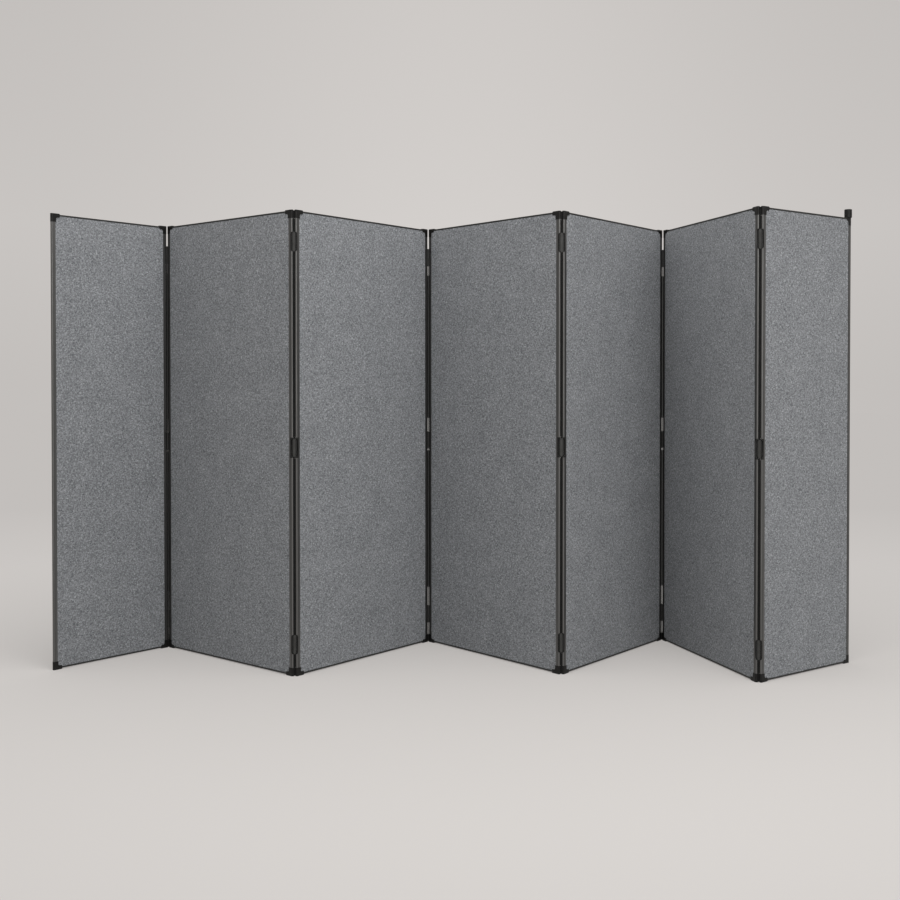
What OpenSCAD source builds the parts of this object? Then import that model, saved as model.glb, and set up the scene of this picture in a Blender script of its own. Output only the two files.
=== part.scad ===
// Folding partition: seven fabric-covered leaves hinged edge to edge, standing on the floor in a zigzag.
// All lengths are in millimetres. +Z is up. The floor is z = 0 and the origin is the middle of the footprint.
// Leaves are numbered 1 to 7 from the left. Fold n joins leaf n to leaf n + 1.
// Odd folds point away from the viewer (valleys), even folds point towards the viewer (ridges).

/* [Overall size] */

// Height of a leaf from the floor to the top of its corner caps
screen_height = 1800; // [1200:10:2100]

// Width of each of the five middle leaves over its rounded stile noses
leaf_width = 800; // [500:10:1000]

// Width of the first and the last leaf over their stile noses
end_leaf_width = 550; // [400:10:1000]

// Thickness of a leaf over its aluminium frame
leaf_thickness = 11; // [11:0.5:16]

/* [Rest pose] */

// Direction of leaf 1 seen from above, degrees from the left-right line
leaf_1_turn = 50.5; // [0:0.5:90]

// Fold 1: turn from leaf 1 to leaf 2, 0 is straight and 180 is folded flat
fold_1_turn = 91.5; // [0:0.5:180]

// Fold 2: turn from leaf 2 to leaf 3
fold_2_turn = 93.5; // [0:0.5:180]

// Fold 3: turn from leaf 3 to leaf 4
fold_3_turn = 101.5; // [0:0.5:180]

// Fold 4: turn from leaf 4 to leaf 5
fold_4_turn = 102; // [0:0.5:180]

// Fold 5: turn from leaf 5 to leaf 6
fold_5_turn = 126; // [0:0.5:180]

// Fold 6: turn from leaf 6 to leaf 7
fold_6_turn = 110.5; // [0:0.5:180]

/* [Frame] */

// Visible height of a rail
rail_height = 6; // [4:0.5:12]

// Flat lip of a stile, from the start of its rounded nose to the fabric
stile_lip = 13; // [11:0.5:18]

// Wall of the hollow stile section
stile_wall = 1.2; // [1:0.1:1.4]

// Wall of the round boss in a stile that holds the hinge pins
pin_boss_wall = 1.1; // [0.8:0.1:1.3]

// Depth of the tongue that each frame bar pushes into the edge of the board
tongue_depth = 10; // [6:1:16]

// Thickness of that tongue
tongue_thickness = 4; // [3:0.5:5]

// Depth of the shadow groove between a stile's nose and its lip
groove_depth = 0.6; // [0.3:0.1:0.7]

// Width of that shadow groove
groove_width = 1.4; // [0.8:0.1:2.5]

// Depth of the wider shadow groove in the lip, beside the fabric
edge_groove_depth = 1; // [0.5:0.1:1.2]

// Width of that wider groove
edge_groove_width = 3; // [2:0.5:4]

// Height above the floor where the lower and upper stile lengths meet
stile_joint_height = 866; // [850:1:910]

// Width of the hairline between the two stile lengths
stile_joint_gap = 0.4; // [0.3:0.1:1]

/* [Board and fabric] */

// Thickness of the board under the fabric
board_thickness = 7.6; // [6:0.2:8]

// Thickness of the loop fabric on each side
fabric_thickness = 1.2; // [0.8:0.1:1.5]

/* [Corner caps] */

// Height of the leg of a corner cap that runs along the stile
cap_leg_height = 33; // [25:1:45]

// Length of the leg of a corner cap that runs along the rail, from the nose centre
cap_leg_length = 32; // [28:1:60]

// Height of the leg of a corner cap that runs along the rail
cap_leg_thickness = 16; // [12:1:18]

// Radius of the rounded end of that leg
cap_leg_end_radius = 5; // [2:0.5:5.5]

// How far a corner cap stands proud of the stile faces
cap_proud = 0.75; // [0.5:0.25:1.5]

// How far a corner cap stands above or below the rail
cap_rise = 4; // [3:0.5:8]

// Extra cover of a corner cap past the stile lip, over the fabric
cap_cover = 2; // [1:0.5:4]

// Radius of the web in the inner corner of a cap
cap_web_radius = 6; // [3:1:10]

// Radius of the rounded outer edge of a cap
cap_edge_radius = 2; // [1:0.5:3]

/* [Coupling post] */

// Radius of the round post on the right-hand top corner
post_radius = 15; // [10:0.5:18]

// Height of that post above the corner caps
post_height = 31; // [15:1:60]

// Radius of the post's rounded top edge
post_edge_radius = 2.5; // [1:0.5:4]

// Depth that the foot of the post is sunk into the top of the cap
post_root = 2.5; // [1:0.5:3]

// Height of the relief above that foot, and how much smaller its radius is
post_relief = 0.8; // [0.4:0.1:1.5]

/* [Hinges] */

// Gap between the rounded noses of neighbouring stiles
fold_gap = 6; // [5:0.5:8]

// Distance from the end of a leaf to the nearest end of its upper or lower hinge
hinge_inset = 85; // [60:1:200]

// Height of the slot of an upper or lower hinge
hinge_slot_height = 76; // [50:1:100]

// Height of the centre of the middle hinge above the floor
middle_hinge_height = 884; // [860:1:930]

// Height of the slot of the middle hinge
middle_slot_height = 72; // [50:1:90]

// Width of a hinge link, seen from above
link_width = 5; // [4.6:0.2:5.4]

// Clearance between a link and the sides of its slot
link_side_clearance = 0.4; // [0.3:0.1:0.6]

// Clearance between a link and the ends of its slot
link_end_clearance = 0.5; // [0.5:0.1:1.5]

// How far the spine of a link stands out towards its outer side
link_spine_reach = 5; // [3.5:0.5:6]

// Width of that spine
link_spine_width = 10; // [7:0.5:11]

// Room at each side of the spine, in the notch that lets it pass the nose
spine_side_room = 5; // [3:0.5:5]

// How far the rib of a link stands out towards its closing side
link_rib_reach = 4.5; // [3:0.5:5]

// Width of that rib
link_rib_width = 3; // [2:0.5:4]

// Diameter of a hinge pin
pin_diameter = 3; // [2.5:0.1:3.4]

// Radial clearance of a pin in the bore of a stile
pin_clearance = 0.1; // [0.02:0.01:0.1]

// Length of a pin that stands in the stile past each end of its slot
pin_engagement = 10; // [6:1:20]

/* [Middle hinge collars] */

// Height of the moulded collar around the middle hinge
collar_height = 78; // [60:1:110]

// How far a collar stands proud of the stile
collar_proud = 1; // [0.6:0.1:1.2]

// How far a collar reaches back over the lip, from the nose centre
collar_cover = 4.5; // [3.5:0.5:8]

/* [Gap strips] */

// Clearance between a gap strip and the stile noses
strip_clearance = 0.5; // [0.3:0.1:1]

// Depth of a gap strip, front to back
strip_depth = 10; // [5:0.5:12]

// Thickness of the lip of a strip that laps over the noses on the outer side
strip_lip_thickness = 1.4; // [1:0.2:2]

// Thickness of the neck of a strip, where it passes between collars or between caps
strip_neck_thickness = 3.4; // [1.6:0.2:3.4]

// Thickness of the slim ends of a valley's strip, beside the hinges
valley_end_thickness = 4.2; // [3.4:0.2:5]

// Distance that the wide part of a strip stays clear of a collar or a cap
strip_neck_reach = 3; // [2:0.5:10]

// Distance of the outermost ends of the strips from the ends of the leaves
strip_end_gap = 3; // [2:0.5:20]

// Length of the slim end above the lower hinge of a valley
valley_end_1 = 80; // [10:5:150]

// Length of the slim end under the middle hinge of a valley
valley_end_2 = 10; // [10:5:150]

// Length of the slim end above the middle hinge of a valley
valley_end_3 = 60; // [10:5:150]

// Length of the slim end under the upper hinge of a valley
valley_end_4 = 40; // [10:5:150]

/* [Colours] */

// Colour of the fabric
fabric_tone = "#77797c"; // [#77797c:Grey, #3f5f7f:Blue, #6f2f35:Red]

// Colour of the frame
frame_tone = "#3c3b38"; // [#3c3b38:Graphite, #a6a7a8:Silver]

// Colour of the moulded pieces
moulding_tone = "#24231f"; // [#24231f:Black, #5a5a58:Grey]

/* [Hidden] */

$fn = 48;
thin = 0.02;
nose_radius = leaf_thickness / 2;
link_pitch = leaf_thickness + fold_gap;
body_low = cap_rise;
body_high = screen_height - cap_rise;
board_low = body_low + rail_height;
board_high = body_high - rail_height;
cap_radius = nose_radius + cap_proud;
cap_cover_run = stile_lip + cap_cover;
collar_radius = nose_radius + collar_proud;
slot_half = link_width / 2 + link_side_clearance;
notch_half = link_spine_width / 2 + spine_side_room;
pin_bore_radius = pin_diameter / 2 + pin_clearance;
lower_slot = [hinge_inset, hinge_inset + hinge_slot_height];
middle_slot = [middle_hinge_height - middle_slot_height / 2, middle_hinge_height + middle_slot_height / 2];
upper_slot = [screen_height - hinge_inset - hinge_slot_height, screen_height - hinge_inset];
slots = [lower_slot, middle_slot, upper_slot];
collar_low = middle_hinge_height - collar_height / 2;
collar_high = middle_hinge_height + collar_height / 2;
strip_width = fold_gap - 2 * strip_clearance;
strip_lip_start = strip_depth / 2 - strip_lip_thickness;
strip_neck_run = (collar_height - middle_slot_height) / 2 + link_end_clearance + strip_neck_reach;
strip_cap_run = cap_leg_height + strip_neck_reach;
post_top = screen_height + post_height;
steel_tone = "#b9bbbd";
board_tone = "#b9a27c";

// turn of each leaf and of each link, seen from above
turn_2 = leaf_1_turn - fold_1_turn;
turn_3 = turn_2 + fold_2_turn;
turn_4 = turn_3 - fold_3_turn;
turn_5 = turn_4 + fold_4_turn;
turn_6 = turn_5 - fold_5_turn;
turn_7 = turn_6 + fold_6_turn;
leaf_turns = [leaf_1_turn, turn_2, turn_3, turn_4, turn_5, turn_6, turn_7];
function leaf_turn(n) = leaf_turns[n - 1];
function half_span(n) = ((n == 1 || n == 7 ? end_leaf_width : leaf_width) - leaf_thickness) / 2;
function edge_x(n) = half_span(n) - stile_lip;
function link_turn(n) = (leaf_turn(n) + leaf_turn(n + 1)) / 2;
function unit(a) = [cos(a), sin(a)];

// hinge pivots before centring: left and right end of each leaf
function left_pivot(n) = n == 1 ? [0, 0] : right_pivot(n - 1) + link_pitch * unit(link_turn(n - 1));
function right_pivot(n) = left_pivot(n) + 2 * half_span(n) * unit(leaf_turn(n));
lefts = [for (n = [1:7]) left_pivot(n)];
rights = [for (n = [1:7]) right_pivot(n)];
xs = [for (p = lefts) p[0], for (p = rights) p[0]];
ys = [for (p = lefts) p[1], for (p = rights) p[1]];
post_offset = cap_radius - post_radius;
post_axis = rights[6] + post_offset * unit(turn_7);
x_low = min(xs) - cap_radius;
x_high = max(max(xs) + cap_radius, post_axis[0] + post_radius);
y_low = min(min(ys) - cap_radius, post_axis[1] - post_radius);
y_high = max(max(ys) + cap_radius, post_axis[1] + post_radius);
centre = [(x_low + x_high) / 2, (y_low + y_high) / 2];
function leaf_middle(n) = (lefts[n - 1] + rights[n - 1]) / 2 - centre;
function fold_middle(n) = (rights[n - 1] + lefts[n]) / 2 - centre;

// side towards which a fold closes: -1 is the viewer's side, +1 the far side
function closing_side(n) = n % 2 == 1 ? -1 : 1;

module place_leaf(n) {
    translate(leaf_middle(n)) rotate([0, 0, leaf_turn(n)]) children();
}

module place_fold(n) {
    translate(fold_middle(n)) rotate([0, 0, link_turn(n)]) children();
}

// a box from its low corner to its high corner
module span(low, high) {
    translate(low) cube(high - low);
}

// a post between two heights
module rod(radius, low, high) {
    translate([0, 0, low]) cylinder(r = radius, h = high - low);
}

// puts a right-hand end piece on the right end (1) or, turned round, on the left end (-1) of leaf n
module at_end(n, end) {
    translate([end * half_span(n), 0, 0]) rotate([0, 0, end == 1 ? 0 : 180]) children();
}

// ---- one leaf ----

module board_shape(n) {
    half = board_thickness / 2;
    slit = tongue_thickness / 2;
    edge = edge_x(n);
    inner = edge - tongue_depth;
    difference() {
        span([-edge, -half, board_low], [edge, half, board_high]);
        span([-edge - 1, -slit, board_low - 1], [-inner, slit, board_high + 1]);
        span([inner, -slit, board_low - 1], [edge + 1, slit, board_high + 1]);
        span([-edge, -slit, board_low - 1], [edge, slit, board_low + tongue_depth]);
        span([-edge, -slit, board_high - tongue_depth], [edge, slit, board_high + 1]);
    }
}

module fabric_shape(n) {
    inner = board_thickness / 2;
    outer = inner + fabric_thickness;
    edge = edge_x(n);
    span([-edge, -outer, board_low], [edge, -inner, board_high]);
    span([-edge, inner, board_low], [edge, outer, board_high]);
}

module rails_shape(n) {
    half = leaf_thickness / 2;
    slit = tongue_thickness / 2;
    edge = edge_x(n);
    inner = edge - tongue_depth;
    span([-edge, -half, body_low], [edge, half, board_low]);
    span([-inner, -slit, board_low - thin], [inner, slit, board_low + tongue_depth]);
    span([-edge, -half, board_high], [edge, half, body_high]);
    span([-inner, -slit, board_high - tongue_depth], [inner, slit, board_high + thin]);
}

// section of a stile: the nose is round about the hinge pivot at the origin, inwards is -x
module stile_section() {
    half = leaf_thickness / 2;
    difference() {
        union() {
            intersection() {
                circle(r = nose_radius);
                translate([0, -half]) square([half, leaf_thickness]);
            }
            translate([-stile_lip, -half]) square([stile_lip + thin, leaf_thickness]);
        }
        circle(r = pin_bore_radius, $fn = 24);
        stile_hollow();
        for (side = [0, 1]) mirror([0, side]) {
            translate([-groove_width, half - groove_depth]) square([groove_width, half]);
            translate([-stile_lip - 1, half - edge_groove_depth]) square([edge_groove_width + 1, half]);
        }
    }
}

// the two hollows of a stile, one each side of the web through its pin boss
module stile_hollow() {
    r = nose_radius - stile_wall;
    web = stile_wall / 2;
    deep = stile_lip - edge_groove_width - stile_wall;
    difference() {
        union() {
            intersection() {
                circle(r = r);
                translate([web, -r]) square([r, 2 * r]);
            }
            translate([-deep, -r]) square([deep - web, 2 * r]);
        }
        circle(r = pin_bore_radius + pin_boss_wall);
    }
}

// space that a link needs in a nose, from straight to folded flat
module slot_space(side, slot) {
    height = slot[1] - slot[0];
    reach = leaf_thickness;
    rod(slot_half, slot[0], slot[1]);
    translate([0, -slot_half, slot[0]]) cube([reach, 2 * slot_half, height]);
    mirror([0, side == 1 ? 1 : 0, 0]) {
        // the closing side is open
        translate([-slot_half, -reach, slot[0]]) cube([slot_half + reach, reach, height]);
        // a notch with round ends lets the spine pass on the outer side
        translate([link_pitch / 2, 0, 0]) stadium(notch_half, reach, slot[0], slot[1]);
    }
}

// a block from y = 0 to its depth, with round ends at the two heights
module stadium(radius, depth, low, high) {
    span([-radius, 0, low + radius], [radius, depth, high - radius]);
    for (z = [low + radius, high - radius])
        translate([0, 0, z]) rotate([-90, 0, 0]) cylinder(r = radius, h = depth);
}

// side is 0 on an outer end, which has no hinge
module stile_length(low, high, side) {
    slit = tongue_thickness / 2;
    tongue_low = max(low, board_low);
    tongue_high = min(high, board_high);
    difference() {
        union() {
            translate([0, 0, low]) linear_extrude(height = high - low) stile_section();
            span([-stile_lip - tongue_depth, -slit, tongue_low], [-stile_lip + thin, slit, tongue_high]);
        }
        if (side != 0) {
            for (slot = slots) slot_space(side, slot);
        }
    }
}

module stile(side) {
    stile_length(body_low, stile_joint_height - stile_joint_gap / 2, side);
    stile_length(stile_joint_height + stile_joint_gap / 2, body_high, side);
}

module stiles_shape(n, left_side, right_side) {
    at_end(n, -1) stile(-left_side);
    at_end(n, 1) stile(right_side);
}

// outside of a corner cap at the foot of a leaf
module cap_body(leg) {
    r = cap_radius;
    e = cap_edge_radius;
    // round nose with a rounded bottom edge
    rotate_extrude($fn = 64) {
        square([r - e, cap_leg_height]);
        translate([0, e]) square([r, cap_leg_height - e]);
        intersection() {
            translate([r - e, e]) circle(r = e, $fn = 32);
            translate([r - e, 0]) square([e, e]);
        }
    }
    // leg along the stile
    translate([-cap_cover_run, -r, e]) cube([cap_cover_run, 2 * r, cap_leg_height - e]);
    // leg along the rail, with rounded bottom edges and a rounded end
    intersection() {
        translate([-leg, 0, 0]) rotate([90, 0, 90]) linear_extrude(height = leg) cap_leg_section();
        rotate([90, 0, 0]) translate([0, 0, -r - 1]) linear_extrude(height = 2 * r + 2) cap_leg_outline(leg);
    }
    // web in the inner corner
    if (leg > cap_cover_run + cap_web_radius) cap_web();
}

module cap_leg_section() {
    r = cap_radius;
    e = cap_edge_radius;
    translate([-r, e]) square([2 * r, cap_leg_thickness - e]);
    translate([-r + e, 0]) square([2 * r - 2 * e, e + thin]);
    translate([-r + e, e]) circle(r = e, $fn = 32);
    translate([r - e, e]) circle(r = e, $fn = 32);
}

// the leg seen from the side, x along the rail
module cap_leg_outline(leg) {
    q = cap_leg_end_radius;
    translate([q - leg, 0]) square([leg - q, cap_leg_thickness]);
    translate([-leg, q]) square([q + thin, cap_leg_thickness - 2 * q]);
    for (y = [q, cap_leg_thickness - q]) translate([q - leg, y]) circle(r = q, $fn = 32);
}

module cap_web() {
    r = cap_radius;
    x = -cap_cover_run - cap_web_radius;
    difference() {
        translate([x, -r, cap_leg_thickness - thin])
            cube([cap_web_radius + thin, 2 * r, cap_web_radius + thin]);
        translate([x, r + 1, cap_leg_thickness + cap_web_radius])
            rotate([90, 0, 0]) cylinder(r = cap_web_radius, h = 2 * r + 2);
    }
}

// the frame end that a cap is pushed over
module frame_end() {
    half = leaf_thickness / 2;
    run = 2 * cap_leg_length;
    translate([0, 0, body_low]) cylinder(r = nose_radius, h = 2 * cap_leg_height);
    translate([-run, -half, body_low]) cube([run, leaf_thickness, 2 * cap_leg_height]);
}

module cap(leg) {
    difference() {
        cap_body(leg);
        frame_end();
    }
}

module top_cap(leg) {
    translate([0, 0, screen_height]) mirror([0, 0, 1]) cap(leg);
}

module caps_shape(n) {
    for (end = [-1, 1]) at_end(n, end) {
        cap(cap_leg_length);
        top_cap(cap_leg_length);
    }
}

// round post on the last top cap, with its side in line with the cap's nose
module post_shape() {
    e = post_edge_radius;
    foot = post_radius - post_relief;
    rotate_extrude($fn = 64) {
        translate([0, screen_height + post_relief]) square([post_radius, post_height - post_relief - e]);
        translate([0, screen_height - post_root]) square([foot, post_root + post_relief + thin]);
        translate([0, post_top - e - thin]) square([post_radius - e, e + thin]);
        intersection() {
            translate([post_radius - e, post_top - e]) circle(r = e, $fn = 32);
            translate([post_radius - e, post_top - e]) square([e, e]);
        }
    }
}

// the cap under the post has a leg along the rail that ends under the post's side
module last_caps_shape() {
    at_end(7, -1) {
        cap(cap_leg_length);
        top_cap(cap_leg_length);
    }
    at_end(7, 1) {
        cap(cap_leg_length);
        top_cap(post_radius - post_offset);
        translate([post_offset, 0, 0]) post_shape();
    }
}

module collar(side) {
    half = leaf_thickness / 2;
    difference() {
        union() {
            rod(collar_radius, collar_low, collar_high);
            span([-collar_cover, -collar_radius, collar_low], [0, collar_radius, collar_high]);
        }
        rod(nose_radius, collar_low - 1, collar_high + 1);
        span([-leaf_thickness, -half, collar_low - 1], [0, half, collar_high + 1]);
        slot_space(side, middle_slot);
    }
}

// ---- one fold, x runs along the link and the pivots are at plus and minus half the pitch ----

module link(side, slot) {
    low = slot[0] + link_end_clearance;
    high = slot[1] - link_end_clearance;
    half = link_pitch / 2;
    rib = link_rib_width / 2;
    difference() {
        union() {
            for (x = [-half, half]) translate([x, 0, 0]) rod(link_width / 2, low, high);
            span([-half, -link_width / 2, low], [half, link_width / 2, high]);
            mirror([0, side == 1 ? 1 : 0, 0]) {
                stadium(link_spine_width / 2, link_spine_reach, low, high);
                span([-rib, -link_rib_reach, low], [rib, 0, high]);
            }
        }
        for (x = [-half, half]) translate([x, 0, 0]) rod(pin_diameter / 2, low - 1, high + 1, $fn = 24);
    }
}

module links_shape(side) {
    for (slot = slots) link(side, slot);
}

module pins_shape() {
    for (slot = slots, x = [-link_pitch / 2, link_pitch / 2])
        translate([x, 0, 0]) rod(pin_diameter / 2, slot[0] - pin_engagement, slot[1] + pin_engagement, $fn = 24);
}

// a bar in the gap between two heights
module strip_bar(low, high, thickness) {
    d = strip_depth / 2;
    span([-thickness / 2, -d, low], [thickness / 2, d, high]);
}

// the lip of a strip, which laps over round noses of a given radius on the outer side of the fold
module strip_lip(side, low, high, radius) {
    half = link_pitch / 2 - sqrt(radius * radius - strip_lip_start * strip_lip_start) - strip_clearance;
    mirror([0, side == 1 ? 1 : 0, 0]) span([-half, strip_lip_start, low], [half, strip_depth / 2, high]);
}

// a valley's strip between two hinges, with a neck and a slim end at each end
module valley_strip(low, high, low_neck, high_neck, low_end, high_end) {
    strip_bar(low, high, strip_neck_thickness);
    strip_bar(low + low_neck, high - high_neck, valley_end_thickness);
    strip_bar(low + low_end, high - high_end, strip_width);
    strip_lip(-1, low + low_end, high - high_end, nose_radius);
}

module valley_strips_shape() {
    over = link_end_clearance;
    strip_bar(strip_end_gap, lower_slot[0] + over, strip_neck_thickness);
    strip_bar(strip_cap_run, lower_slot[0] + over, valley_end_thickness);
    strip_lip(-1, strip_end_gap, strip_cap_run, collar_radius);
    valley_strip(lower_slot[1] - over, middle_slot[0] + over, 0, strip_neck_run, valley_end_1, valley_end_2);
    valley_strip(middle_slot[1] - over, upper_slot[0] + over, strip_neck_run, 0, valley_end_3, valley_end_4);
}

// a ridge's strip, with a neck of a given length at each end
module ridge_strip(low, high, low_neck, high_neck) {
    strip_bar(low, high, strip_neck_thickness);
    strip_lip(1, low, high, collar_radius);
    strip_bar(low + low_neck, high - high_neck, strip_width);
    strip_lip(1, low + low_neck, high - high_neck, nose_radius);
}

module ridge_strips_shape() {
    over = link_end_clearance;
    cap_neck = strip_cap_run - strip_end_gap;
    ridge_strip(strip_end_gap, lower_slot[0] + over, cap_neck, 0);
    ridge_strip(lower_slot[1] - over, middle_slot[0] + over, 0, strip_neck_run);
    ridge_strip(middle_slot[1] - over, upper_slot[0] + over, strip_neck_run, 0);
    ridge_strip(upper_slot[1] - over, screen_height - strip_end_gap, 0, cap_neck);
}

// ---- named pieces ----

module board_1() {
    color(board_tone) place_leaf(1) board_shape(1);
}

module board_2() {
    color(board_tone) place_leaf(2) board_shape(2);
}

module board_3() {
    color(board_tone) place_leaf(3) board_shape(3);
}

module board_4() {
    color(board_tone) place_leaf(4) board_shape(4);
}

module board_5() {
    color(board_tone) place_leaf(5) board_shape(5);
}

module board_6() {
    color(board_tone) place_leaf(6) board_shape(6);
}

module board_7() {
    color(board_tone) place_leaf(7) board_shape(7);
}

module fabric_1() {
    color(fabric_tone) place_leaf(1) fabric_shape(1);
}

module fabric_2() {
    color(fabric_tone) place_leaf(2) fabric_shape(2);
}

module fabric_3() {
    color(fabric_tone) place_leaf(3) fabric_shape(3);
}

module fabric_4() {
    color(fabric_tone) place_leaf(4) fabric_shape(4);
}

module fabric_5() {
    color(fabric_tone) place_leaf(5) fabric_shape(5);
}

module fabric_6() {
    color(fabric_tone) place_leaf(6) fabric_shape(6);
}

module fabric_7() {
    color(fabric_tone) place_leaf(7) fabric_shape(7);
}

module rails_1() {
    color(frame_tone) place_leaf(1) rails_shape(1);
}

module rails_2() {
    color(frame_tone) place_leaf(2) rails_shape(2);
}

module rails_3() {
    color(frame_tone) place_leaf(3) rails_shape(3);
}

module rails_4() {
    color(frame_tone) place_leaf(4) rails_shape(4);
}

module rails_5() {
    color(frame_tone) place_leaf(5) rails_shape(5);
}

module rails_6() {
    color(frame_tone) place_leaf(6) rails_shape(6);
}

module rails_7() {
    color(frame_tone) place_leaf(7) rails_shape(7);
}

module stiles_1() {
    color(frame_tone) place_leaf(1) stiles_shape(1, 0, closing_side(1));
}

module stiles_2() {
    color(frame_tone) place_leaf(2) stiles_shape(2, closing_side(1), closing_side(2));
}

module stiles_3() {
    color(frame_tone) place_leaf(3) stiles_shape(3, closing_side(2), closing_side(3));
}

module stiles_4() {
    color(frame_tone) place_leaf(4) stiles_shape(4, closing_side(3), closing_side(4));
}

module stiles_5() {
    color(frame_tone) place_leaf(5) stiles_shape(5, closing_side(4), closing_side(5));
}

module stiles_6() {
    color(frame_tone) place_leaf(6) stiles_shape(6, closing_side(5), closing_side(6));
}

module stiles_7() {
    color(frame_tone) place_leaf(7) stiles_shape(7, closing_side(6), 0);
}

module caps_1() {
    color(moulding_tone) place_leaf(1) caps_shape(1);
}

module caps_2() {
    color(moulding_tone) place_leaf(2) caps_shape(2);
}

module caps_3() {
    color(moulding_tone) place_leaf(3) caps_shape(3);
}

module caps_4() {
    color(moulding_tone) place_leaf(4) caps_shape(4);
}

module caps_5() {
    color(moulding_tone) place_leaf(5) caps_shape(5);
}

module caps_6() {
    color(moulding_tone) place_leaf(6) caps_shape(6);
}

module caps_7() {
    color(moulding_tone) place_leaf(7) last_caps_shape();
}

module collars_1() {
    color(moulding_tone) place_leaf(1) {
        at_end(1, 1) collar(closing_side(1));
    }
}

module collars_2() {
    color(moulding_tone) place_leaf(2) {
        at_end(2, -1) collar(-closing_side(1));
        at_end(2, 1) collar(closing_side(2));
    }
}

module collars_3() {
    color(moulding_tone) place_leaf(3) {
        at_end(3, -1) collar(-closing_side(2));
        at_end(3, 1) collar(closing_side(3));
    }
}

module collars_4() {
    color(moulding_tone) place_leaf(4) {
        at_end(4, -1) collar(-closing_side(3));
        at_end(4, 1) collar(closing_side(4));
    }
}

module collars_5() {
    color(moulding_tone) place_leaf(5) {
        at_end(5, -1) collar(-closing_side(4));
        at_end(5, 1) collar(closing_side(5));
    }
}

module collars_6() {
    color(moulding_tone) place_leaf(6) {
        at_end(6, -1) collar(-closing_side(5));
        at_end(6, 1) collar(closing_side(6));
    }
}

module collars_7() {
    color(moulding_tone) place_leaf(7) {
        at_end(7, -1) collar(-closing_side(6));
    }
}

module links_1() {
    color(moulding_tone) place_fold(1) links_shape(closing_side(1));
}

module links_2() {
    color(moulding_tone) place_fold(2) links_shape(closing_side(2));
}

module links_3() {
    color(moulding_tone) place_fold(3) links_shape(closing_side(3));
}

module links_4() {
    color(moulding_tone) place_fold(4) links_shape(closing_side(4));
}

module links_5() {
    color(moulding_tone) place_fold(5) links_shape(closing_side(5));
}

module links_6() {
    color(moulding_tone) place_fold(6) links_shape(closing_side(6));
}

module pins_1() {
    color(steel_tone) place_fold(1) pins_shape();
}

module pins_2() {
    color(steel_tone) place_fold(2) pins_shape();
}

module pins_3() {
    color(steel_tone) place_fold(3) pins_shape();
}

module pins_4() {
    color(steel_tone) place_fold(4) pins_shape();
}

module pins_5() {
    color(steel_tone) place_fold(5) pins_shape();
}

module pins_6() {
    color(steel_tone) place_fold(6) pins_shape();
}

module gap_strips_1() {
    color(moulding_tone) place_fold(1) valley_strips_shape();
}

module gap_strips_2() {
    color(moulding_tone) place_fold(2) ridge_strips_shape();
}

module gap_strips_3() {
    color(moulding_tone) place_fold(3) valley_strips_shape();
}

module gap_strips_4() {
    color(moulding_tone) place_fold(4) ridge_strips_shape();
}

module gap_strips_5() {
    color(moulding_tone) place_fold(5) valley_strips_shape();
}

module gap_strips_6() {
    color(moulding_tone) place_fold(6) ridge_strips_shape();
}

board_1();
board_2();
board_3();
board_4();
board_5();
board_6();
board_7();
fabric_1();
fabric_2();
fabric_3();
fabric_4();
fabric_5();
fabric_6();
fabric_7();
rails_1();
rails_2();
rails_3();
rails_4();
rails_5();
rails_6();
rails_7();
stiles_1();
stiles_2();
stiles_3();
stiles_4();
stiles_5();
stiles_6();
stiles_7();
caps_1();
caps_2();
caps_3();
caps_4();
caps_5();
caps_6();
caps_7();
collars_1();
collars_2();
collars_3();
collars_4();
collars_5();
collars_6();
collars_7();
links_1();
links_2();
links_3();
links_4();
links_5();
links_6();
pins_1();
pins_2();
pins_3();
pins_4();
pins_5();
pins_6();
gap_strips_1();
gap_strips_2();
gap_strips_3();
gap_strips_4();
gap_strips_5();
gap_strips_6();
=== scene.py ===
# %% [markdown]
# # A folding partition
#
# This script dresses the measured frame of a seven-leaf folding screen: grey loop fabric on both
# faces of each leaf, a dark anodised frame, black moulded corner caps and hinges, and one round
# post on the last corner. The frame comes from the solid model, so every length here is in metres
# and every piece sits where the frame says. We read it once.

import math

import bpy
import numpy as np
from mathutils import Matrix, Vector, noise


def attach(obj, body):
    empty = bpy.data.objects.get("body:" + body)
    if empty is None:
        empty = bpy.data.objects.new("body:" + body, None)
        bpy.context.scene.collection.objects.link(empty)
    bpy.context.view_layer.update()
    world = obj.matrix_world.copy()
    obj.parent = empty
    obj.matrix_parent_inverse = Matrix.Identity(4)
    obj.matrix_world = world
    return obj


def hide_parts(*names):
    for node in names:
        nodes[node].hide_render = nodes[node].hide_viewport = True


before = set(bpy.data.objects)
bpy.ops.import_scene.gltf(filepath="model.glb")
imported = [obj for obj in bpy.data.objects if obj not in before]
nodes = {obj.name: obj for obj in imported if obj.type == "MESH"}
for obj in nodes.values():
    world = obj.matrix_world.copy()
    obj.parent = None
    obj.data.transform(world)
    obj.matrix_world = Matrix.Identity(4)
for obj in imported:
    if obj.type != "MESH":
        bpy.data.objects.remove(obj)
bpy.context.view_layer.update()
LEAVES = range(1, 8)
MM = 0.001

# %% [markdown]
# ## Measuring a leaf
#
# The leaves stand at different angles, so a face of fabric can't be laid out along X or Y. The
# simplest way to find a leaf's direction is to ask its own fabric solid: its longest direction in
# plan is the leaf's. The sheet that we build is then laid out in the leaf's own directions, along,
# outward and up, and it stays right if the frame is ever packed with other angles or widths.


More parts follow.
